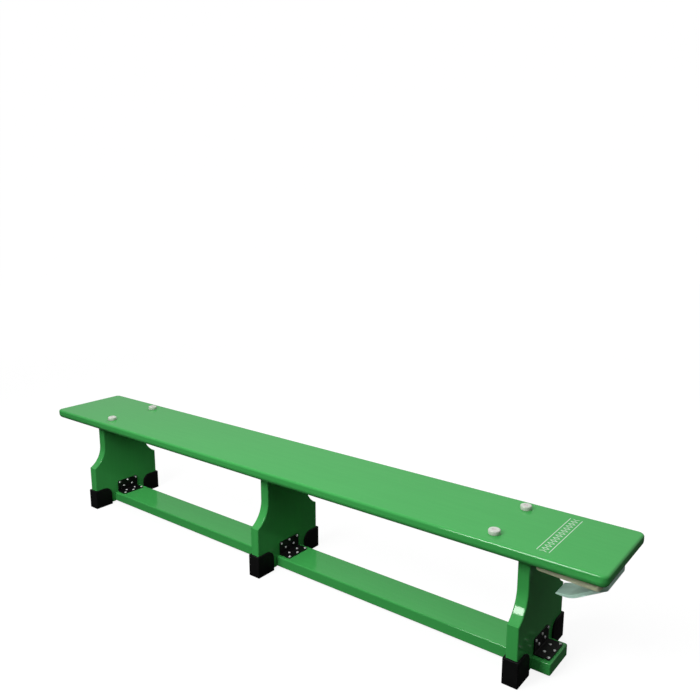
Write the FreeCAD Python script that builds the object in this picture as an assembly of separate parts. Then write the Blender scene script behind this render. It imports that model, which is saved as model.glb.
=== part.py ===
import FreeCAD, Part

import math
import os

# Low balance bench: a walking plank on three shaped legs, with a narrow balance rail through
# notches in the feet of the legs. Turned over, the bench rests on its four top studs and the rail
# becomes the beam. Millimetres. X runs along the bench, Y across it, Z up. The origin is on the
# floor under the middle of the centre leg, and the hook is at the +X end.

V = FreeCAD.Vector

# An edge shorter than this along an axis has no extent along it
touch = 0.01
# Cutting tools start and end this far outside the face they pierce
clear = 1.0

# Plank
bench_length = 1830.0
plank_width = 238.0
plank_thickness = 28.0
top_height = 302.0
plank_corner_radius = 15.0
plank_top_edge_radius = 6.0
plank_low_edge_radius = 14.0
underside = top_height - plank_thickness

# Legs
leg_pitch = 734.0
leg_thickness = 27.0
leg_base_width = 236.0
leg_waist_width = 155.0
leg_shoulder_height = 135.0
leg_curve_radius = 72.0
leg_edge_radius = 3.0
sole_thickness = 5.0

# Balance rail
rail_length = 1581.0
rail_width = 95.0
rail_thickness = 28.0
rail_corner_radius = 4.0
rail_edge_radius = 3.0
rail_side_clearance = 0.5
rail_top = sole_thickness + rail_thickness

# Rubber feet, U-shaped caps round the lower outer corners of the legs
foot_wall = 4.5
foot_height = 60.0
foot_inner_edge = 63.0
foot_corner_radius = 24.0
foot_outer_radius = 2.0
foot_rim_radius = 1.5

# Steel angle brackets
bracket_flange = 36.5
bracket_width = 74.0
bracket_gauge = 3.0
bracket_bend_radius = 4.0
bracket_corner_radius = 4.0
outer_row = 32.0
outer_row_pitch = 31.5
inner_row = 16.0
bracket_hole_radius = 2.0

# Pan-head wood screws, and the sinks that hide them in plastic and rubber pieces
head_radius = 3.2
head_height = 2.2
head_dome_radius = 1.6
shank_radius = 1.75
screw_tip_length = 3.0
screw_tip_radius = 0.3
screw_bite = 12.5
recess_arm = 1.9
recess_width = 0.8
recess_depth = 1.3
sink_radius = 4.5
foot_sink_depth = 3.0

# Top studs, each with its screw hidden under a plug
stud_radius = 13.0
stud_height = 10.0
stud_edge_radius = 3.0
stud_x = 666.0
stud_y = 78.0
stud_screw_bite = 16.0
plug_thickness = 1.2
plug_recess = 0.6
stud_grip = stud_height - plug_recess - plug_thickness - head_height

# Hook plate: a shallow wedge under the plank, thicker towards the end of the bench
plate_inner_x = 768.0
plate_end_x = 900.0
plate_width = 212.0
plate_inner_thickness = 7.4
plate_end_thickness = 13.6
plate_inner_radius = 2.0
plate_nose_radius = 8.0
plate_corner_radius = 12.0
plate_screw_seat = 5.0
plate_screw_y = 88.0
plate_screw_x = (784.0, 830.0, 876.0)

# Hook: a strap bent down and back towards the leg, 50 wide at its tip and 100 at its bend
hook_tip_width = 50.0
hook_bend_width = 100.0
hook_tip_x = 783.0
hook_bend_x = 897.0
hook_wall = 8.0
hook_edge_radius = 1.5
hook_tip_radius = 2.2
hook_arm_end_x = 796.0
hook_arm_thickness = 9.0
hook_arm_radius = 3.0
hook_bend_z = 238.0
hook_bend_radius = 7.0
hook_throat_z = 242.0
hook_throat_radius = 6.5
hook_root_radius = 3.0
hook_knee_outside = (819.0, 185.5, 70.0)
hook_knee_inside = (813.0, 190.5, 60.0)
hook_tip_z = 181.0
hook_tip_thickness = 4.8
hook_screw_x = (812.0, 840.0)
hook_screw_y = 13.0
hook_screw_seat = 15.0
# Tools from below are this long: through the plate and the hook's arm, and short of its lip
low_tool_length = 36.0


def box(x0, x1, y0, y1, z0, z1):
    return Part.makeBox(x1 - x0, y1 - y0, z1 - z0, V(x0, y0, z0))


def rounded_outline(corners, place):
    """Closed wire through corners (a, b, radius), each rounded by an arc of its radius."""
    edges = []
    count = len(corners)
    starts = []
    ends = []
    for index in range(count):
        a, b, radius = corners[index]
        point = V(a, b, 0)
        before = V(corners[index - 1][0], corners[index - 1][1], 0) - point
        after = V(corners[(index + 1) % count][0], corners[(index + 1) % count][1], 0) - point
        before.normalize()
        after.normalize()
        if radius == 0:
            starts.append(point)
            ends.append(point)
            continue
        half = before.getAngle(after) / 2
        reach = radius / math.tan(half)
        start = point + before * reach
        end = point + after * reach
        towards = before + after
        towards.normalize()
        middle = point + towards * (radius / math.sin(half) - radius)
        edges.append(Part.Arc(place(start), place(middle), place(end)).toShape())
        starts.append(start)
        ends.append(end)
    for index in range(count):
        line_start = ends[index]
        line_end = starts[(index + 1) % count]
        if (line_end - line_start).Length > touch:
            edges.append(Part.makeLine(place(line_start), place(line_end)))
    return Part.Wire(Part.__sortEdges__(edges))


def on_xy(point):
    return V(point.x, point.y, 0)


def on_xz(point):
    return V(point.x, 0, point.y)


def on_yz(point):
    return V(0, point.x, point.y)


def edges_where(solid, test):
    return [edge for edge in solid.Edges if test(edge.BoundBox)]


def pan_screw(length):
    """Screw along -Z with the underside of its head at the origin."""
    down = V(0, 0, -1)
    straight = length - screw_tip_length
    head = Part.makeCylinder(head_radius, head_height)
    top_rim = edges_where(head, lambda b: b.ZMin > head_height - touch)
    head = head.makeFillet(head_dome_radius, top_rim)
    shank = Part.makeCylinder(shank_radius, straight, V(0, 0, 0), down)
    tip = Part.makeCone(shank_radius, screw_tip_radius, screw_tip_length, V(0, 0, -straight), down)
    floor = head_height - recess_depth
    top = head_height + clear
    half = recess_width / 2
    cross = box(-recess_arm, recess_arm, -half, half, floor, top)
    cross = cross.fuse(box(-half, half, -recess_arm, recess_arm, floor, top))
    return head.fuse([shank, tip]).cut(cross)


def placed(shape, position, direction):
    """Copy of a shape made along +Z, moved to position with +Z turned to direction."""
    copy = shape.copy()
    copy.Placement = FreeCAD.Placement(position, FreeCAD.Rotation(V(0, 0, 1), direction))
    return copy


def pilot(position, direction, depth, radius=shank_radius):
    """Hole tool that starts at position and runs against the screw's direction."""
    return Part.makeCylinder(radius, depth, position, direction * -1)


class CornerBracket:
    """Angle bracket in the corner between a leg face and a horizontal wooden face."""

    def __init__(self, name, leg_x, side, corner_z, up):
        self.name = name
        self.leg_x = leg_x
        self.side = side
        self.up = up
        self.corner = V(leg_x + side * leg_thickness / 2, 0, corner_z)
        self.out = V(side, 0, 0)
        self.rise = V(0, 0, up)

    def hole_rows(self):
        return [
            (outer_row, (-outer_row_pitch, 0, outer_row_pitch)),
            (inner_row, (-outer_row_pitch / 2, outer_row_pitch / 2)),
        ]

    def screws_in_leg(self):
        """Outer face points of the flange on the leg, and the direction the heads face."""
        points = []
        for distance, spots in self.hole_rows():
            for y in spots:
                points.append(self.corner + self.rise * distance + V(0, y, 0))
        return points, self.out

    def screws_in_board(self):
        points = []
        for distance, spots in self.hole_rows():
            for y in spots:
                points.append(self.corner + self.out * distance + V(0, y, 0))
        return points, self.rise

    def shape(self):
        profile = [
            (0, 0, bracket_bend_radius),
            (bracket_flange, 0, 0),
            (bracket_flange, bracket_gauge, 0),
            (bracket_gauge, bracket_gauge, bracket_bend_radius - bracket_gauge),
            (bracket_gauge, bracket_flange, 0),
            (0, bracket_flange, 0),
        ]

        def place(point):
            return self.corner + self.out * point.x + self.rise * point.y + V(0, -bracket_width / 2, 0)

        angle = Part.Face(rounded_outline(profile, place)).extrude(V(0, bracket_width, 0))
        far_x = self.corner.x + self.side * bracket_flange
        far_z = self.corner.z + self.up * bracket_flange

        def free_corner(bounds):
            upright = bounds.ZLength > touch and bounds.XLength < touch and bounds.YLength < touch
            level = bounds.XLength > touch and bounds.ZLength < touch and bounds.YLength < touch
            at_end = abs(bounds.Center.x - far_x) < touch
            at_top = abs(bounds.Center.z - far_z) < touch
            short = max(bounds.XLength, bounds.ZLength) < bracket_gauge + touch
            return short and ((upright and at_end) or (level and at_top))

        angle = angle.makeFillet(bracket_corner_radius, edges_where(angle, free_corner))
        tools = []
        for points, direction in (self.screws_in_leg(), self.screws_in_board()):
            for point in points:
                start = point + direction * (bracket_gauge + clear)
                depth = bracket_gauge + 2 * clear
                tools.append(pilot(start, direction, depth, bracket_hole_radius))
        return angle.cut(tools)

    def screws(self):
        screw = pan_screw(bracket_gauge + screw_bite)
        group = []
        for points, direction in (self.screws_in_leg(), self.screws_in_board()):
            for point in points:
                group.append(placed(screw, point + direction * bracket_gauge, direction))
        return group

    def leg_holes(self):
        points, direction = self.screws_in_leg()
        return [pilot(point, direction, screw_bite) for point in points]

    def board_holes(self):
        points, direction = self.screws_in_board()
        return [pilot(point, direction, screw_bite) for point in points]


def plate_underside(x):
    """Height of the hook plate's sloping lower face."""
    share = (x - plate_inner_x) / (plate_end_x - plate_inner_x)
    depth = plate_inner_thickness + share * (plate_end_thickness - plate_inner_thickness)
    return underside - depth


def top_plank(brackets):
    half_length = bench_length / 2
    half_width = plank_width / 2
    plank = box(-half_length, half_length, -half_width, half_width, underside, top_height)
    uprights = edges_where(plank, lambda b: b.ZLength > plank_thickness - touch)
    plank = plank.makeFillet(plank_corner_radius, uprights)
    top_rim = edges_where(plank, lambda b: b.ZMin > top_height - touch)
    plank = plank.makeFillet(plank_top_edge_radius, top_rim)
    low_rim = edges_where(plank, lambda b: b.ZMax < underside + touch)
    plank = plank.makeFillet(plank_low_edge_radius, low_rim)
    tools = []
    for bracket in brackets:
        tools += bracket.board_holes()
    for x, y in stud_spots():
        tools.append(pilot(V(x, y, top_height), V(0, 0, 1), stud_screw_bite))
    for x, y in plate_screw_spots() + hook_screw_spots():
        tools.append(pilot(V(x, y, underside), V(0, 0, -1), screw_bite))
    return plank.cut(tools)


def leg(leg_x, brackets):
    base = leg_base_width / 2
    waist = leg_waist_width / 2
    step = base - waist
    rise = math.sqrt(2 * step * leg_curve_radius - step ** 2)
    curve_top = leg_shoulder_height + rise
    turn = math.asin(rise / leg_curve_radius) / 2
    middle_y = waist + leg_curve_radius * (1 - math.cos(turn))
    middle_z = curve_top - leg_curve_radius * math.sin(turn)
    notch = rail_width / 2 + rail_side_clearance
    edges = []
    for side in (-1, 1):
        shoulder = V(0, side * base, leg_shoulder_height)
        neck = V(0, side * waist, curve_top)
        edges.append(Part.makeLine(V(0, side * notch, rail_top), V(0, side * notch, sole_thickness)))
        edges.append(Part.makeLine(V(0, side * notch, sole_thickness), V(0, side * base, sole_thickness)))
        edges.append(Part.makeLine(V(0, side * base, sole_thickness), shoulder))
        edges.append(Part.Arc(shoulder, V(0, side * middle_y, middle_z), neck).toShape())
        edges.append(Part.makeLine(neck, V(0, side * waist, underside)))
    edges.append(Part.makeLine(V(0, -waist, underside), V(0, waist, underside)))
    edges.append(Part.makeLine(V(0, -notch, rail_top), V(0, notch, rail_top)))
    outline = Part.Wire(Part.__sortEdges__(edges))
    outline.translate(V(leg_x - leg_thickness / 2, 0, 0))
    board = Part.Face(outline).extrude(V(leg_thickness, 0, 0))

    def side_edge(bounds):
        on_face = bounds.XLength < touch
        outside = abs(bounds.Center.y) > waist - touch
        tall = bounds.ZLength > 2 * leg_edge_radius
        return on_face and outside and tall

    board = board.makeFillet(leg_edge_radius, edges_where(board, side_edge))
    tools = []
    for bracket in brackets:
        if bracket.leg_x == leg_x:
            tools += bracket.leg_holes()
    for x, y in foot_spots():
        if x == leg_x:
            tools.append(pilot(V(x, y, sole_thickness), V(0, 0, -1), screw_bite))
    return board.cut(tools)


def balance_rail(brackets):
    half_length = rail_length / 2
    half_width = rail_width / 2
    rail = box(-half_length, half_length, -half_width, half_width, sole_thickness, rail_top)
    crossing = edges_where(rail, lambda b: b.XLength < touch and b.YLength < touch)
    rail = rail.makeFillet(rail_corner_radius, crossing)
    rims = edges_where(rail, lambda b: b.ZLength < touch)
    rail = rail.makeFillet(rail_edge_radius, rims)
    tools = []
    for bracket in brackets:
        tools += bracket.board_holes()
    return rail.cut(tools)


def foot_middle():
    return (foot_inner_edge + leg_base_width / 2) / 2


def foot_spots():
    return [(x, side * foot_middle()) for x in (-leg_pitch, 0, leg_pitch) for side in (-1, 1)]


def rubber_foot(leg_x, side):
    outer = leg_base_width / 2 + foot_wall
    profile = [
        (side * foot_inner_edge, 0, 0),
        (side * outer, 0, foot_outer_radius),
        (side * outer, foot_height, foot_outer_radius),
        (side * foot_inner_edge, foot_height, foot_corner_radius),
    ]
    reach = leg_thickness / 2 + foot_wall
    wire = rounded_outline(profile, on_yz)
    wire.translate(V(leg_x - reach, 0, 0))
    cap = Part.Face(wire).extrude(V(2 * reach, 0, 0))

    def rim(bounds):
        flat = bounds.XLength < touch
        low = bounds.ZLength < touch and bounds.Center.z < touch
        inner = abs(bounds.Center.y - side * foot_inner_edge) < touch
        return flat and not low and not inner

    cap = cap.makeFillet(foot_rim_radius, edges_where(cap, rim))
    near = side * (foot_inner_edge - clear)
    far = side * leg_base_width / 2
    half = leg_thickness / 2
    low, high = min(near, far), max(near, far)
    pocket = box(leg_x - half, leg_x + half, low, high, sole_thickness, foot_height + clear)
    spot = V(leg_x, side * foot_middle(), 0)
    hole = Part.makeCylinder(bracket_hole_radius, sole_thickness + clear, spot)
    sink = Part.makeCylinder(sink_radius, foot_sink_depth, spot)
    return cap.cut([pocket, hole, sink])


def foot_screws():
    screw = pan_screw(sole_thickness - foot_sink_depth + screw_bite)
    return [placed(screw, V(x, y, foot_sink_depth), V(0, 0, -1)) for x, y in foot_spots()]


def stud_spots():
    return [(end * stud_x, side * stud_y) for end in (-1, 1) for side in (-1, 1)]


def top_stud(x, y):
    stud = Part.makeCylinder(stud_radius, stud_height, V(x, y, top_height))
    crown = edges_where(stud, lambda b: b.ZMin > top_height + stud_height - touch)
    stud = stud.makeFillet(stud_edge_radius, crown)
    sink = Part.makeCylinder(sink_radius, stud_height, V(x, y, top_height + stud_grip))
    hole = Part.makeCylinder(bracket_hole_radius, stud_height, V(x, y, top_height - clear))
    return stud.cut([sink, hole])


def stud_screws():
    screw = pan_screw(stud_grip + stud_screw_bite)
    return [placed(screw, V(x, y, top_height + stud_grip), V(0, 0, 1)) for x, y in stud_spots()]


def stud_plugs():
    seat = top_height + stud_grip + head_height
    return [Part.makeCylinder(sink_radius, plug_thickness, V(x, y, seat)) for x, y in stud_spots()]


def plate_screw_spots():
    return [(x, side * plate_screw_y) for x in plate_screw_x for side in (-1, 1)]


def hook_screw_spots():
    return [(x, side * hook_screw_y) for x in hook_screw_x for side in (-1, 1)]


def hole_from_below(x, y, radius, ceiling):
    """Cylinder that ends at a given height."""
    return Part.makeCylinder(radius, low_tool_length, V(x, y, ceiling - low_tool_length))


def screw_holes_from_below(spots, seat):
    """Through holes and head sinks whose seats lie a given depth below the plank."""
    tools = []
    for x, y in spots:
        tools.append(hole_from_below(x, y, bracket_hole_radius, underside))
        tools.append(hole_from_below(x, y, sink_radius, underside - seat))
    return tools


def hook_plate():
    half = plate_width / 2
    profile = [
        (plate_inner_x, underside, 0),
        (plate_inner_x, plate_underside(plate_inner_x), plate_inner_radius),
        (plate_end_x, plate_underside(plate_end_x), plate_nose_radius),
        (plate_end_x, underside, 0),
    ]
    wire = rounded_outline(profile, on_xz)
    wire.translate(V(0, -half, 0))
    wedge = Part.Face(wire).extrude(V(0, plate_width, 0))
    lowest = underside - plate_end_thickness
    outline = box(plate_inner_x, plate_end_x, -half, half, lowest - clear, underside)
    uprights = edges_where(outline, lambda b: b.ZLength > plate_end_thickness)
    outline = outline.makeFillet(plate_corner_radius, uprights)
    plate = wedge.common(outline)
    tools = screw_holes_from_below(plate_screw_spots(), plate_screw_seat)
    for x, y in hook_screw_spots():
        tools.append(hole_from_below(x, y, bracket_hole_radius, underside))
    return plate.cut(tools)


def hook_plate_screws():
    screw = pan_screw(plate_screw_seat + screw_bite)
    seat = underside - plate_screw_seat
    return [placed(screw, V(x, y, seat), V(0, 0, -1)) for x, y in plate_screw_spots()]


def arm_underside(x):
    return plate_underside(x) - hook_arm_thickness


def hook():
    throat_x = hook_bend_x - hook_wall
    profile = [
        (hook_arm_end_x, plate_underside(hook_arm_end_x), hook_edge_radius),
        (hook_bend_x, plate_underside(hook_bend_x), hook_edge_radius),
        (hook_bend_x, hook_bend_z, hook_bend_radius),
        hook_knee_outside,
        (hook_tip_x, hook_tip_z, hook_tip_radius),
        (hook_tip_x, hook_tip_z + hook_tip_thickness, hook_tip_radius),
        hook_knee_inside,
        (throat_x, hook_throat_z, hook_throat_radius),
        (throat_x, arm_underside(throat_x), hook_root_radius),
        (hook_arm_end_x, arm_underside(hook_arm_end_x), hook_arm_radius),
    ]
    wire = rounded_outline(profile, on_xz)
    wire.translate(V(0, -hook_bend_width / 2, 0))
    strap = Part.Face(wire).extrude(V(0, hook_bend_width, 0))
    taper = [
        (hook_tip_x, -hook_tip_width / 2, 0),
        (hook_bend_x, -hook_bend_width / 2, 0),
        (hook_bend_x, hook_bend_width / 2, 0),
        (hook_tip_x, hook_tip_width / 2, 0),
    ]
    strap = strap.common(Part.Face(rounded_outline(taper, on_xy)).extrude(V(0, 0, top_height)))

    def side_rim(bounds):
        against_plate = bounds.ZMax > arm_underside(hook_arm_end_x) + clear
        on_one_side = abs(bounds.Center.y) > touch
        return on_one_side and not against_plate

    strap = strap.makeFillet(hook_edge_radius, edges_where(strap, side_rim))
    return strap.cut(screw_holes_from_below(hook_screw_spots(), hook_screw_seat))


def hook_screws():
    screw = pan_screw(hook_screw_seat + screw_bite)
    seat = underside - hook_screw_seat
    return [placed(screw, V(x, y, seat), V(0, 0, -1)) for x, y in hook_screw_spots()]


def save(name, shape):
    if isinstance(shape, list):
        shape = Part.makeCompound(shape)
    shape.exportStep("parts/" + name + ".step")


def main():
    os.makedirs("parts", exist_ok=True)
    legs = {"left": -leg_pitch, "centre": 0.0, "right": leg_pitch}
    sides = {"left": -1, "right": 1}

    rail_brackets = []
    for leg_name, leg_x in legs.items():
        for side_name, side in sides.items():
            name = "rail_bracket_" + leg_name + "_leg_" + side_name + "_side"
            rail_brackets.append(CornerBracket(name, leg_x, side, rail_top, 1))

    # The end legs have a plank bracket on the inner side only: the hook plate is on the outer side.
    plank_brackets = []
    for leg_name, side_name in (("left", "right"), ("centre", "left"), ("centre", "right"), ("right", "left")):
        name = "plank_bracket_" + leg_name + "_leg_" + side_name + "_side"
        plank_brackets.append(CornerBracket(name, legs[leg_name], sides[side_name], underside, -1))

    save("top_plank", top_plank(plank_brackets))
    save("balance_rail", balance_rail(rail_brackets))
    for leg_name, leg_x in legs.items():
        save("leg_" + leg_name, leg(leg_x, rail_brackets + plank_brackets))
        rail_screws = []
        plank_screws = []
        for bracket in rail_brackets:
            if bracket.leg_x == leg_x:
                rail_screws += bracket.screws()
        for bracket in plank_brackets:
            if bracket.leg_x == leg_x:
                plank_screws += bracket.screws()
        save("rail_bracket_screws_" + leg_name, rail_screws)
        save("plank_bracket_screws_" + leg_name, plank_screws)
        for row_name, side in (("front", -1), ("back", 1)):
            save("rubber_foot_" + leg_name + "_" + row_name, rubber_foot(leg_x, side))
    for bracket in rail_brackets + plank_brackets:
        save(bracket.name, bracket.shape())
    save("foot_screws", foot_screws())

    for end_name, end in sides.items():
        for row_name, side in (("front", -1), ("back", 1)):
            save("top_stud_" + end_name + "_" + row_name, top_stud(end * stud_x, side * stud_y))
    save("top_stud_screws", stud_screws())
    save("top_stud_plugs", stud_plugs())

    save("hook_plate", hook_plate())
    save("hook_plate_screws", hook_plate_screws())
    save("hook", hook())
    save("hook_screws", hook_screws())


main()
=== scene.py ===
"""Looks of a low balance bench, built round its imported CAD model. Metres, in the model's frame."""

import math

import bmesh
import bpy
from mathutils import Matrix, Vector


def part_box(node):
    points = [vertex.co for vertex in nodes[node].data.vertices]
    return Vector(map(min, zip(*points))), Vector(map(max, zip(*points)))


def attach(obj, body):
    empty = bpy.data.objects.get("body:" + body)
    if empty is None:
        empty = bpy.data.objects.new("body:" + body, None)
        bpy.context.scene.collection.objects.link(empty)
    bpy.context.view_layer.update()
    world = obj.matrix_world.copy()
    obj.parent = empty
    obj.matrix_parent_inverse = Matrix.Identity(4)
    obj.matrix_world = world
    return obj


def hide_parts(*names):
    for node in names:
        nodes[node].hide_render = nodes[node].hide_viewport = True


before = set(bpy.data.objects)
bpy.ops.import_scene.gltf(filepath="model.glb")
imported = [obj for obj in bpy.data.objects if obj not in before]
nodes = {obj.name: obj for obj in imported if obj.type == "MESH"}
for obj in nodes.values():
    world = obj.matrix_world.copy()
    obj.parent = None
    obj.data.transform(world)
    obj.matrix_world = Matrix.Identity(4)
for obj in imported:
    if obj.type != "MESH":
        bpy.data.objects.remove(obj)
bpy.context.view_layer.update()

X_AXIS = 0
Z_AXIS = 2


# ---------------------------------------------------------------- materials


class Graph:
    """Short calls for making shader nodes in one tree."""

    def __init__(self, tree):
        self.tree = tree

    def node(self, kind, settings=None, **inputs):
        made = self.tree.nodes.new(kind)
        for key, value in (settings or {}).items():
            setattr(made, key, value)
        for socket, value in inputs.items():
            self.feed(made.inputs[socket.replace("_", " ")], value)
        return made

    def feed(self, socket, value):
        """Give a socket another node's output, or a value of its own."""
        if isinstance(value, bpy.types.NodeSocket):
            self.tree.links.new(value, socket)
        else:
            socket.default_value = value

    def ramp(self, value, low, high, start=0.0, end=1.0):
        """Smooth step from start, where value is low or less, to end, where it is high or more."""
        made = self.node("ShaderNodeMapRange", {"interpolation_type": "SMOOTHSTEP"}, Value=value)
        sockets = ("From Min", "From Max", "To Min", "To Max")
        for socket, number in zip(sockets, (low, high, start, end)):
            made.inputs[socket].default_value = number
        return made.outputs[0]

    def maths(self, operation, a, b=0.0):
        made = self.tree.nodes.new("ShaderNodeMath")
        made.operation = operation
        self.feed(made.inputs[0], a)
        self.feed(made.inputs[1], b)
        return made.outputs[0]

    def dot(self, a, b):
        made = self.node("ShaderNodeVectorMath", {"operation": "DOT_PRODUCT"})
        self.feed(made.inputs[0], a)
        self.feed(made.inputs[1], b)
        return made.outputs["Value"]


class Finish(Graph):
    """One procedural material. Its patterns use the model frame's coordinates, in metres."""

    def __init__(self, name, colour, **constants):
        self.material = bpy.data.materials.new(name)
        self.material.use_nodes = True
        super().__init__(self.material.node_tree)
        self.shader = self.tree.nodes["Principled BSDF"]
        self.shader.inputs["Base Color"].default_value = (*colour, 1)
        for socket, value in constants.items():
            self.shader.inputs[socket.replace("_", " ")].default_value = value
        self.place = self.node("ShaderNodeTexCoord").outputs["Object"]

    def noise(self, scale, detail=2.0, stretch=(1, 1, 1), roughness=0.5):
        """Noise from 0 to 1, scale in cells per metre, squeezed by stretch along each axis."""
        place = self.node("ShaderNodeMapping", Vector=self.place, Scale=stretch).outputs[0]
        return self.node("ShaderNodeTexNoise", Vector=place, Scale=scale, Detail=detail,
                         Roughness=roughness).outputs[0]

    def blend(self, share, a, b):
        """Colour a where share is 0, and colour b where it is 1."""
        made = self.node("ShaderNodeMix", {"data_type": "RGBA"})
        for socket, value in ((0, share), (6, a), (7, b)):
            if isinstance(value, tuple) and len(value) == 3:
                value = (*value, 1)
            self.feed(made.inputs[socket], value)
        return made.outputs[2]

    def bump(self, height, distance, under=None):
        made = self.node("ShaderNodeBump", Height=height, Distance=distance)
        if under is not None:
            self.feed(made.inputs["Normal"], under)
        return made.outputs[0]

    def edges(self, radius):
        """0 on open faces, and up to about 0.3 on square edges, both convex and concave."""
        soft = self.node("ShaderNodeBevel", {"samples": 6}, Radius=radius).outputs[0]
        hard = self.node("ShaderNodeNewGeometry").outputs["Normal"]
        return self.maths("SUBTRACT", 1.0, self.dot(soft, hard))

    def near(self, value, centre, half, soft=0.0003):
        """1 where a value lies within half of a centre, with soft borders."""
        away = self.maths("ABSOLUTE", self.maths("SUBTRACT", value, centre))
        return self.ramp(away, half - soft, half + soft, start=1.0, end=0.0)

    def set(self, **sockets):
        for socket, value in sockets.items():
            self.feed(self.shader.inputs[socket.replace("_", " ")], value)
        return self.material


BORDER_X = 0.777
BORDER_LINES_X = (0.764, 0.790)
BORDER_LINE_HALF = 0.0007
BORDER_HALF_LENGTH = 0.091
LOZENGE_STEP = 0.014
LOZENGE_HALF_WIDTH = 0.009
LOZENGE_SLOPE = 2.4
LOZENGE_OUTLINE = {"centre": 0.78, "half": 0.15, "soft": 0.06}
PRINT_ABOVE_Z = 0.3


def border_pattern(f):
    """A plain printed border across the plank near its hook end: a row of outlined lozenges
    between two thin lines."""
    split = f.node("ShaderNodeSeparateXYZ", Vector=f.place)
    x, y, z = split.outputs
    step = f.maths("SUBTRACT", f.maths("FRACT", f.maths("DIVIDE", y, LOZENGE_STEP)), 0.5)
    across = f.maths("ABSOLUTE", f.maths("SUBTRACT", x, BORDER_X))
    across = f.maths("DIVIDE", across, LOZENGE_HALF_WIDTH)
    along = f.maths("MULTIPLY", f.maths("ABSOLUTE", step), LOZENGE_SLOPE)
    print_mask = f.near(f.maths("ADD", along, across), **LOZENGE_OUTLINE)
    for line_x in BORDER_LINES_X:
        print_mask = f.maths("MAXIMUM", print_mask, f.near(x, line_x, BORDER_LINE_HALF))
    print_mask = f.maths("MULTIPLY", print_mask, f.near(y, 0.0, BORDER_HALF_LENGTH))
    return f.maths("MULTIPLY", print_mask, f.maths("GREATER_THAN", z, PRINT_ABOVE_Z))


LACQUER_GREEN = (0.049, 0.36, 0.080)
LACQUER_TONES = ((0.045, 0.347, 0.074), (0.054, 0.374, 0.084))
LACQUER_FIBRES = (0.038, 0.307, 0.065)
LACQUER_RUBBED = (0.16, 0.47, 0.20)
RUBBED_SHARE = 0.16
PRINT_INK = (0.74, 0.80, 0.74)
GRAIN_ALONG = 6.0
GRAIN_ACROSS = 120.0
GRAIN_HEIGHT = 0.000005
ORANGE_PEEL_HEIGHT = 0.000002


def lacquer(name, grain, marked=False):
    """Green lacquer on wood: faint grain along one axis, orange peel and slightly rubbed edges."""
    f = Finish(name, LACQUER_GREEN, IOR=1.5, Specular_IOR_Level=0.42)
    stretch = [GRAIN_ALONG if axis == grain else GRAIN_ACROSS for axis in range(3)]
    fibres = f.noise(scale=1.0, detail=5.0, stretch=stretch, roughness=0.6)
    tone = f.blend(f.noise(scale=3.2, detail=3.0), *LACQUER_TONES)
    tone = f.blend(f.ramp(fibres, 0.36, 0.66, start=0.0, end=0.2), tone, LACQUER_FIBRES)
    patches = f.ramp(f.noise(scale=46.0, detail=5.0), 0.5, 0.68)
    rubbed = f.maths("MULTIPLY", f.ramp(f.edges(radius=0.004), 0.02, 0.3), patches)
    tone = f.blend(f.maths("MULTIPLY", rubbed, RUBBED_SHARE), tone, LACQUER_RUBBED)
    if marked:
        cover = f.ramp(f.noise(scale=420.0, detail=3.0), 0.28, 0.36, start=0.55, end=0.78)
        tone = f.blend(f.maths("MULTIPLY", border_pattern(f), cover), tone, PRINT_INK)
    rough = f.ramp(f.noise(scale=14.0, detail=6.0), 0.3, 0.75, start=0.10, end=0.14)
    normal = f.bump(fibres, GRAIN_HEIGHT)
    normal = f.bump(f.noise(scale=240.0, detail=1.0), ORANGE_PEEL_HEIGHT, normal)
    return f.set(Base_Color=tone, Roughness=rough, Normal=normal)


def moulded(name, low, high, rough, skin_scale, skin_height, **constants):
    """Moulded rubber or plastic: two close tones, a fine skin texture and uneven gloss."""
    f = Finish(name, low, **constants)
    tone = f.blend(f.noise(scale=22.0, detail=5.0), low, high)
    gloss = f.ramp(f.noise(scale=60.0, detail=4.0), 0.3, 0.7, start=rough - 0.06, end=rough + 0.07)
    skin = f.bump(f.noise(skin_scale, detail=2.0), skin_height)
    return f.set(Base_Color=tone, Roughness=gloss, Normal=skin)


POWDER_BLACK = (0.003, 0.003, 0.0035)
POWDER_TONES = ((0.002, 0.002, 0.0022), (0.0045, 0.0045, 0.005))
POWDER_WORN = (0.04, 0.04, 0.04)


def powder_coat():
    """Black powder coat on steel: a pebbled skin, worn a little at the edges."""
    f = Finish("powder_coated_steel", POWDER_BLACK, IOR=1.4, Specular_IOR_Level=0.35)
    patches = f.ramp(f.noise(scale=300.0, detail=4.0), 0.5, 0.68)
    worn = f.maths("MULTIPLY", f.ramp(f.edges(radius=0.0015), 0.05, 0.35), patches)
    tone = f.blend(worn, f.blend(f.noise(scale=35.0, detail=4.0), *POWDER_TONES), POWDER_WORN)
    gloss = f.ramp(f.noise(scale=90.0, detail=3.0), 0.3, 0.7, start=0.36, end=0.48)
    skin = f.bump(f.noise(scale=900.0, detail=2.0), 0.00003)
    return f.set(Base_Color=tone, Roughness=gloss, Normal=skin)


ZINC_GREY = (0.9, 0.9, 0.9)
ZINC_TONES = ((0.86, 0.87, 0.89), (0.97, 0.97, 0.95))


def zinc():
    """Bright zinc plate, slightly clouded."""
    f = Finish("zinc_plated_steel", ZINC_GREY, Metallic=0.5)
    tone = f.blend(f.noise(scale=140.0, detail=5.0), *ZINC_TONES)
    gloss = f.ramp(f.noise(scale=420.0, detail=4.0), 0.3, 0.7, start=0.34, end=0.48)
    skin = f.bump(f.noise(scale=1400.0, detail=2.0), 0.00001)
    return f.set(Base_Color=tone, Roughness=gloss, Normal=skin)


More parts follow.
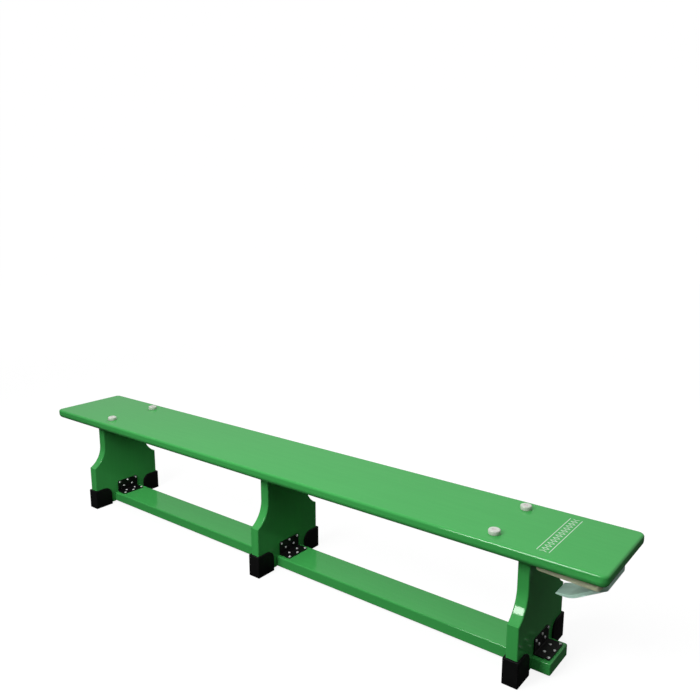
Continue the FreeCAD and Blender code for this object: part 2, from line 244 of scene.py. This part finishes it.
LACQUER_PLANK = lacquer("green_lacquer_plank", X_AXIS, marked=True)
LACQUER_X = lacquer("green_lacquer_long", X_AXIS)
LACQUER_Z = lacquer("green_lacquer_upright", Z_AXIS)
RUBBER = moulded("black_rubber", (0.0015, 0.0016, 0.0016), (0.0035, 0.0035, 0.0035),
                 rough=0.62, skin_scale=700.0, skin_height=0.00008, Specular_IOR_Level=0.2)
STEEL = powder_coat()
ZINC = zinc()
NYLON = moulded("white_nylon", (0.50, 0.55, 0.48), (0.57, 0.60, 0.54),
                rough=0.36, skin_scale=500.0, skin_height=0.00002)
PLUG_NYLON = moulded("plug_nylon", (0.50, 0.43, 0.44), (0.57, 0.49, 0.50),
                     rough=0.32, skin_scale=500.0, skin_height=0.00002)
# Pale aqua nylon of the hook, painted lighter and greener than the nylon itself: painted bounce
# light for a part that sits in the plank's shade.
HOOK_NYLON_AND_PAINTED_BOUNCE = moulded("hook_nylon", (0.60, 0.92, 0.76), (0.66, 0.97, 0.82),
                     rough=0.38, skin_scale=420.0, skin_height=0.00003)
CREAM = moulded("cream_nylon", (0.31, 0.34, 0.21), (0.36, 0.39, 0.25),
                rough=0.45, skin_scale=420.0, skin_height=0.00003)


def finish_of(node):
    if "screws" in node:
        return ZINC
    if "bracket" in node:
        return STEEL
    if node.startswith("rubber"):
        return RUBBER
    if node.startswith("leg"):
        return LACQUER_Z
    if node.startswith("top_stud"):
        return NYLON
    if node == "top_plank":
        return LACQUER_PLANK
    if node == "hook":
        return HOOK_NYLON_AND_PAINTED_BOUNCE
    if node == "hook_plate":
        return CREAM
    return LACQUER_X


for name, cad in nodes.items():
    cad.data.materials.clear()
    cad.data.materials.append(finish_of(name))


# ---------------------------------------------------------------- pieces made as meshes


SHARP_ANGLE = 32


def linked(name, data):
    made = bpy.data.objects.new(name, data)
    bpy.context.scene.collection.objects.link(made)
    return made


def piece(name, bm, finish, replaced):
    """Finished piece of the bench, in place of CAD nodes."""
    mesh = bpy.data.meshes.new(name)
    bmesh.ops.recalc_face_normals(bm, faces=bm.faces)
    bm.to_mesh(mesh)
    bm.free()
    mesh.shade_smooth()
    mesh.set_sharp_from_angle(angle=math.radians(SHARP_ANGLE))
    mesh.materials.append(finish)
    made = linked(name, mesh)
    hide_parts(*replaced)
    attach(made, "root")


def loft(bm, rings, tube=False):
    """Quads between closed rings of equal count. A tube's last ring joins its first, and
    otherwise both ends get a face."""
    loops = [[bm.verts.new(point) for point in ring] for ring in rings]
    if tube:
        loops.append(loops[0])
    else:
        bm.faces.new(loops[0][::-1])
        bm.faces.new(loops[-1])
    for lower, upper in zip(loops, loops[1:]):
        for index in range(len(lower)):
            after = (index + 1) % len(lower)
            bm.faces.new((lower[index], lower[after], upper[after], upper[index]))


def lathe(bm, profile, centre, tube=False, sides=56):
    """Body turned about the upright through centre; the profile lists (radius, height)."""
    turn = [math.tau * i / sides for i in range(sides)]
    rings = []
    for radius, height in profile:
        rings.append([(centre.x + radius * math.cos(a), centre.y + radius * math.sin(a), height)
                      for a in turn])
    loft(bm, rings, tube)


def arc(centre_r, centre_z, radius, start, end, steps=7):
    """Points (radius, height) of an arc in a lathe profile, between two angles in degrees."""
    angles = [math.radians(start + (end - start) * i / steps) for i in range(steps + 1)]
    return [(centre_r + radius * math.cos(a), centre_z + radius * math.sin(a)) for a in angles]


SCREW_HOLE = 0.0020
PLUG_RADIUS = 0.0045
PLUG_GAP = 0.00005
STUD_SINK = 0.0040
STUD_ROUNDING = 0.003
STUD_ROUNDING_END = 80


def stud(name, node):
    """Nylon stud with a relieved foot, a crowned rim and a stepped bore for its screw and plug."""
    low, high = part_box(node)
    radius, foot, top = (high.x - low.x) / 2, low.z, high.z
    relief = [(SCREW_HOLE, foot), (radius - 0.0008, foot),
              (radius - 0.0003, foot + 0.0002), (radius, foot + 0.0007)]
    crown = arc(radius - STUD_ROUNDING, top - STUD_ROUNDING, STUD_ROUNDING, 0, STUD_ROUNDING_END)
    lip = [(PLUG_RADIUS + 0.0019, top - 0.0001), (PLUG_RADIUS + 0.0006, top - 0.00025),
           (PLUG_RADIUS, top - 0.0007)]
    bore = [(PLUG_RADIUS, top - STUD_SINK), (SCREW_HOLE, top - STUD_SINK)]
    bm = bmesh.new()
    lathe(bm, relief + crown + lip + bore, (low + high) / 2, tube=True)
    piece(name, bm, NYLON, [node])


def stud_plugs(studs):
    """Nylon plugs with a bevelled rim, a low dome and a moulding dimple, one in each stud."""
    low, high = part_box("top_stud_plugs")
    rim = PLUG_RADIUS - PLUG_GAP
    side = [(rim, low.z), (rim, high.z - 0.0004),
            (rim - 0.0002, high.z - 0.0001), (rim - 0.0006, high.z)]
    dome = [(0.0024, high.z + 0.0001), (0.0012, high.z + 0.00012)]
    dimple = [(0.0009, high.z - 0.0001)]
    bm = bmesh.new()
    for node in studs:
        stud_low, stud_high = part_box(node)
        lathe(bm, side + dome + dimple, (stud_low + stud_high) / 2, sides=40)
    piece("stud_plugs", bm, PLUG_NYLON, ["top_stud_plugs"])


STUDS = [end + "_" + row for end in ("left", "right") for row in ("front", "back")]
for place in STUDS:
    stud("stud_" + place, "top_stud_" + place)
stud_plugs(["top_stud_" + place for place in STUDS])


def rounded(corners, inset, steps=8):
    """Closed outline through corners (a, b, radius), counter-clockwise, moved inwards by inset."""
    points = []
    count = len(corners)
    for index in range(count):
        a, b, radius = corners[index]
        here = Vector((a, b))
        into = (here - Vector(corners[index - 1][:2])).normalized()
        out = (Vector(corners[(index + 1) % count][:2]) - here).normalized()
        half = (math.pi - into.angle(out)) / 2
        towards = (out - into).normalized()
        centre = here + towards * (radius / math.sin(half))
        turn = math.pi - 2 * half
        start = math.atan2(-into.x, into.y)
        for step in range(steps + 1):
            angle = start + turn * step / steps
            spoke = Vector((math.cos(angle), math.sin(angle)))
            points.append(centre + spoke * (radius - inset))
    return points


def block(bm, low, high):
    """Box between two corners."""
    made = bmesh.ops.create_cube(bm, size=1.0)["verts"]
    for vert in made:
        for axis in range(3):
            vert.co[axis] = high[axis] if vert.co[axis] > 0 else low[axis]


def carved(body, tool):
    """Body with a tool cut out of it; all are bmeshes, and both that are given are used up."""
    holders = []
    for bm in (body, tool):
        bmesh.ops.recalc_face_normals(bm, faces=bm.faces)
        mesh = bpy.data.meshes.new("carving")
        bm.to_mesh(mesh)
        bm.free()
        holders.append(linked("carving", mesh))
    cut = holders[0].modifiers.new("cut", "BOOLEAN")
    cut.operation = "DIFFERENCE"
    cut.solver = "EXACT"
    cut.object = holders[1]
    made = bmesh.new()
    made.from_object(holders[0], bpy.context.evaluated_depsgraph_get())
    for holder in holders:
        bpy.data.objects.remove(holder)
    return made


SOLE = 0.005
FOOT_ROUNDING = 0.0015
FOOT_CORNER = 0.002
FOOT_SHOULDER = 0.024
FRONT_TURNS = (0, 22.5, 45, 67.5, 90)
BACK_TURNS = (90, 112.5, 135, 157.5, 180)
FOOT_SINK = 0.003
FOOT_SINK_RADIUS = 0.0045
SOLE_GROOVES = (0.070, 0.0755, 0.081, 0.100, 0.1055, 0.111)
GROOVE_HALF = 0.0009
GROOVE_DEPTH = 0.0012
OVERCUT = 0.001


def rubber_foot(name, node, leg):
    """Rubber cap round a lower corner of a leg, with a rounded rim, a pocket for the leg, a
    screw sink and a grooved sole."""
    low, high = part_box(node)
    leg_low, leg_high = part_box(leg)
    side = 1 if low.y > 0 else -1
    inner, outer = sorted((abs(low.y), abs(high.y)))
    top = high.z
    corners = [(inner, 0.0, FOOT_CORNER), (outer, 0.0, FOOT_CORNER),
               (outer, top, FOOT_CORNER), (inner, top, FOOT_SHOULDER)]
    rings = []
    for edge, turns in ((low.x + FOOT_ROUNDING, FRONT_TURNS), (high.x - FOOT_ROUNDING, BACK_TURNS)):
        for turn in turns:
            angle = math.radians(turn)
            inset = FOOT_ROUNDING * (1 - math.sin(angle))
            x = edge - FOOT_ROUNDING * math.cos(angle)
            rings.append([(x, side * point.x, point.y) for point in rounded(corners, inset)])
    body = bmesh.new()
    loft(body, rings)
    tool = bmesh.new()
    pocket = sorted((side * (inner - OVERCUT), side * leg_high.y))
    block(tool, (leg_low.x, pocket[0], SOLE), (leg_high.x, pocket[1], top + OVERCUT))
    for y in SOLE_GROOVES:
        band = sorted((side * (y - GROOVE_HALF), side * (y + GROOVE_HALF)))
        block(tool, (low.x - OVERCUT, band[0], -OVERCUT), (high.x + OVERCUT, band[1], GROOVE_DEPTH))
    middle = Vector(((low.x + high.x) / 2, side * (inner + leg_high.y) / 2, 0))
    sink = [(FOOT_SINK_RADIUS, -OVERCUT), (FOOT_SINK_RADIUS, FOOT_SINK),
            (SCREW_HOLE, FOOT_SINK), (SCREW_HOLE, SOLE + OVERCUT / 2)]
    lathe(tool, sink, middle, sides=32)
    piece(name, carved(body, tool), RUBBER, [node])


for leg in ("left", "centre", "right"):
    for row in ("front", "back"):
        rubber_foot("foot_" + leg + "_" + row, "rubber_foot_" + leg + "_" + row, "leg_" + leg)


# ---------------------------------------------------------------- stage, light and camera


def area_light(name, place, target, width, height, power, glossy=True, spread=180):
    """Rectangular lamp aimed at target, its spread in degrees; glossy says if gloss mirrors it."""
    lamp = bpy.data.lights.new(name, "AREA")
    lamp.shape = "RECTANGLE"
    lamp.size = width
    lamp.size_y = height
    lamp.energy = power
    lamp.spread = math.radians(spread)
    holder = linked(name, lamp)
    holder.location = place
    aim = Vector(target) - Vector(place)
    holder.rotation_euler = aim.to_track_quat("-Z", "Y").to_euler()
    holder.visible_glossy = glossy


area_light("key_softbox", place=(-0.13, -1.95, 1.75), target=(0.3, 0, 0.2),
           width=0.75, height=0.95, power=42)
area_light("high_fill", place=(0.35, -1.2, 2.4), target=(0.2, 0, 0.2),
           width=1.2, height=1.2, power=20, glossy=False)
area_light("hook_fill", place=(1.1, -0.95, 0.42), target=(0.83, 0, 0.21),
           width=0.08, height=0.08, power=0.010, glossy=False, spread=12)
area_light("back_fill", place=(-0.8, 2.4, 2.0), target=(0, 0, 0.2),
           width=1.6, height=1.6, power=38, glossy=False)

# A room that is brightest behind the bench and overhead, and dim below the horizon.
world = bpy.data.worlds.new("studio")
bpy.context.scene.world = world
world.use_nodes = True
room = Graph(world.node_tree)
direction = room.node("ShaderNodeTexCoord").outputs["Generated"]
height = room.dot(direction, (0, 0, 1))
walls = room.ramp(room.dot(direction, (-0.5, 0.86, 0)), -0.3, 0.8, start=0.14, end=0.40)
ceiling = room.ramp(height, 0.35, 0.9, start=0.0, end=0.35)
above = room.ramp(height, -0.12, 0.06, start=0.09, end=1.0)
background = world.node_tree.nodes["Background"]
background.inputs["Color"].default_value = (1, 1, 1, 1)
strength = room.maths("MULTIPLY", room.maths("ADD", walls, ceiling), above)
room.feed(background.inputs["Strength"], strength)


def stage_disc(name, radius):
    sides = 96
    angles = [math.tau * i / sides for i in range(sides)]
    rim = [(radius * math.cos(a), radius * math.sin(a), 0) for a in angles]
    mesh = bpy.data.meshes.new(name)
    mesh.from_pydata(rim, [], [list(range(sides))])
    return linked(name, mesh)


def stage_dome(name, radius):
    bm = bmesh.new()
    bmesh.ops.create_icosphere(bm, subdivisions=4, radius=radius)
    mesh = bpy.data.meshes.new(name)
    bm.to_mesh(mesh)
    bm.free()
    return linked(name, mesh)


STAGE_RADIUS = 9.0
DOME_MARGIN = 0.2
FLOOR_GREY = (0.15, 0.15, 0.15)
BLACK = (0.0, 0.0, 0.0)
WHITE_GLOW = (1, 1, 1, 1)
FADE = (1.3, 4.0)

# The floor glows almost white near the bench, so shadows stay faint, and all white further out.
floor = stage_disc("floor", STAGE_RADIUS)
pale = Finish("pale_floor", FLOOR_GREY, Roughness=0.9, Specular_IOR_Level=0.05)
measure = pale.node("ShaderNodeVectorMath", {"operation": "LENGTH"})
pale.feed(measure.inputs[0], pale.place)
distance = measure.outputs["Value"]
floor.data.materials.append(pale.set(
    Base_Color=pale.blend(pale.ramp(distance, *FADE), FLOOR_GREY, BLACK),
    Emission_Color=WHITE_GLOW,
    Emission_Strength=pale.ramp(distance, *FADE, start=0.88, end=1.0)))
dome = stage_dome("backdrop", STAGE_RADIUS + DOME_MARGIN)
dome.data.materials.append(Finish("white_backdrop", BLACK).set(
    Emission_Color=WHITE_GLOW, Emission_Strength=1.0))
for stand in (floor, dome):
    stand.visible_diffuse = False
    stand.visible_glossy = False
    stand.visible_transmission = False
dome.visible_shadow = False

# Lens and place worked out from the edges of the bench in the photograph.
camera = bpy.data.cameras.new("camera")
camera.lens = 37.24
camera.sensor_width = 36.0
camera.clip_start = 0.05
camera.clip_end = 60.0
viewer = linked("camera", camera)
viewer.location = (1.2834, -1.3693, 0.9697)
viewer.rotation_euler = (1.3737, 0, 0.6569)
bpy.context.scene.camera = viewer

bpy.context.scene.view_settings.view_transform = "Standard"
